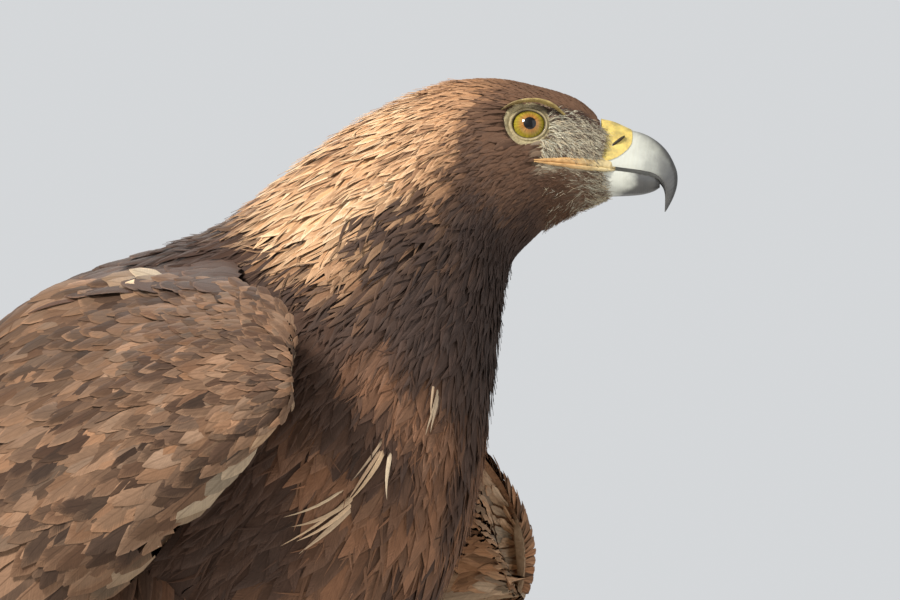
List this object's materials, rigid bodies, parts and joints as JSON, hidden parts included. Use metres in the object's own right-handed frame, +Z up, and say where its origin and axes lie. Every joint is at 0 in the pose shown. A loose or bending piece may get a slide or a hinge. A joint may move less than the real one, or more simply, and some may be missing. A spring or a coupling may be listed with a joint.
{
  "type": "golden eagle",
  "caption": "Life-size golden eagle standing with folded wings, head turned to its left, for a museum-style display.",
  "frame": {"origin": "on the floor, under the middle of the bird's bounding box", "axes": "+X is the way the body faces, +Y is the bird's left, +Z is up; the head is turned 28 degrees towards +Y"},
  "size_m": [0.6352, 0.2814, 0.5741],
  "materials": {
    "plumage_brown": "matt feathers, dark brown with paler edges",
    "plumage_golden": "matt pointed feathers, golden buff",
    "plumage_dark": "slightly glossy blackish-brown flight feathers",
    "bill_horn": "smooth horn, blue-grey going dark at the hook",
    "claw_horn": "smooth black horn",
    "yellow_skin": "bare yellow skin, finely scaled",
    "eye_gloss": "wet glossy eye with an amber iris"
  },
  "bodies": {
    "root": {"bill_lower": "bill_horn", "bill_upper": "bill_horn", "cere": "yellow_skin", "claw_left_hallux": "claw_horn", "claw_left_inner": "claw_horn", "claw_left_middle": "claw_horn", "claw_left_outer": "claw_horn", "claw_right_hallux": "claw_horn", "claw_right_inner": "claw_horn", "claw_right_middle": "claw_horn", "claw_right_outer": "claw_horn", "eye_left": "eye_gloss", "eye_right": "eye_gloss", "foot_left": "yellow_skin", "foot_right": "yellow_skin", "head": "plumage_brown", "leg_left": "plumage_brown", "leg_right": "plumage_brown", "neck": "plumage_golden", "tail": "plumage_dark", "tarsus_left": "plumage_golden", "tarsus_right": "plumage_golden", "torso": "plumage_brown", "wing_left": "plumage_dark", "wing_right": "plumage_dark"}
  },
  "joints": []
}
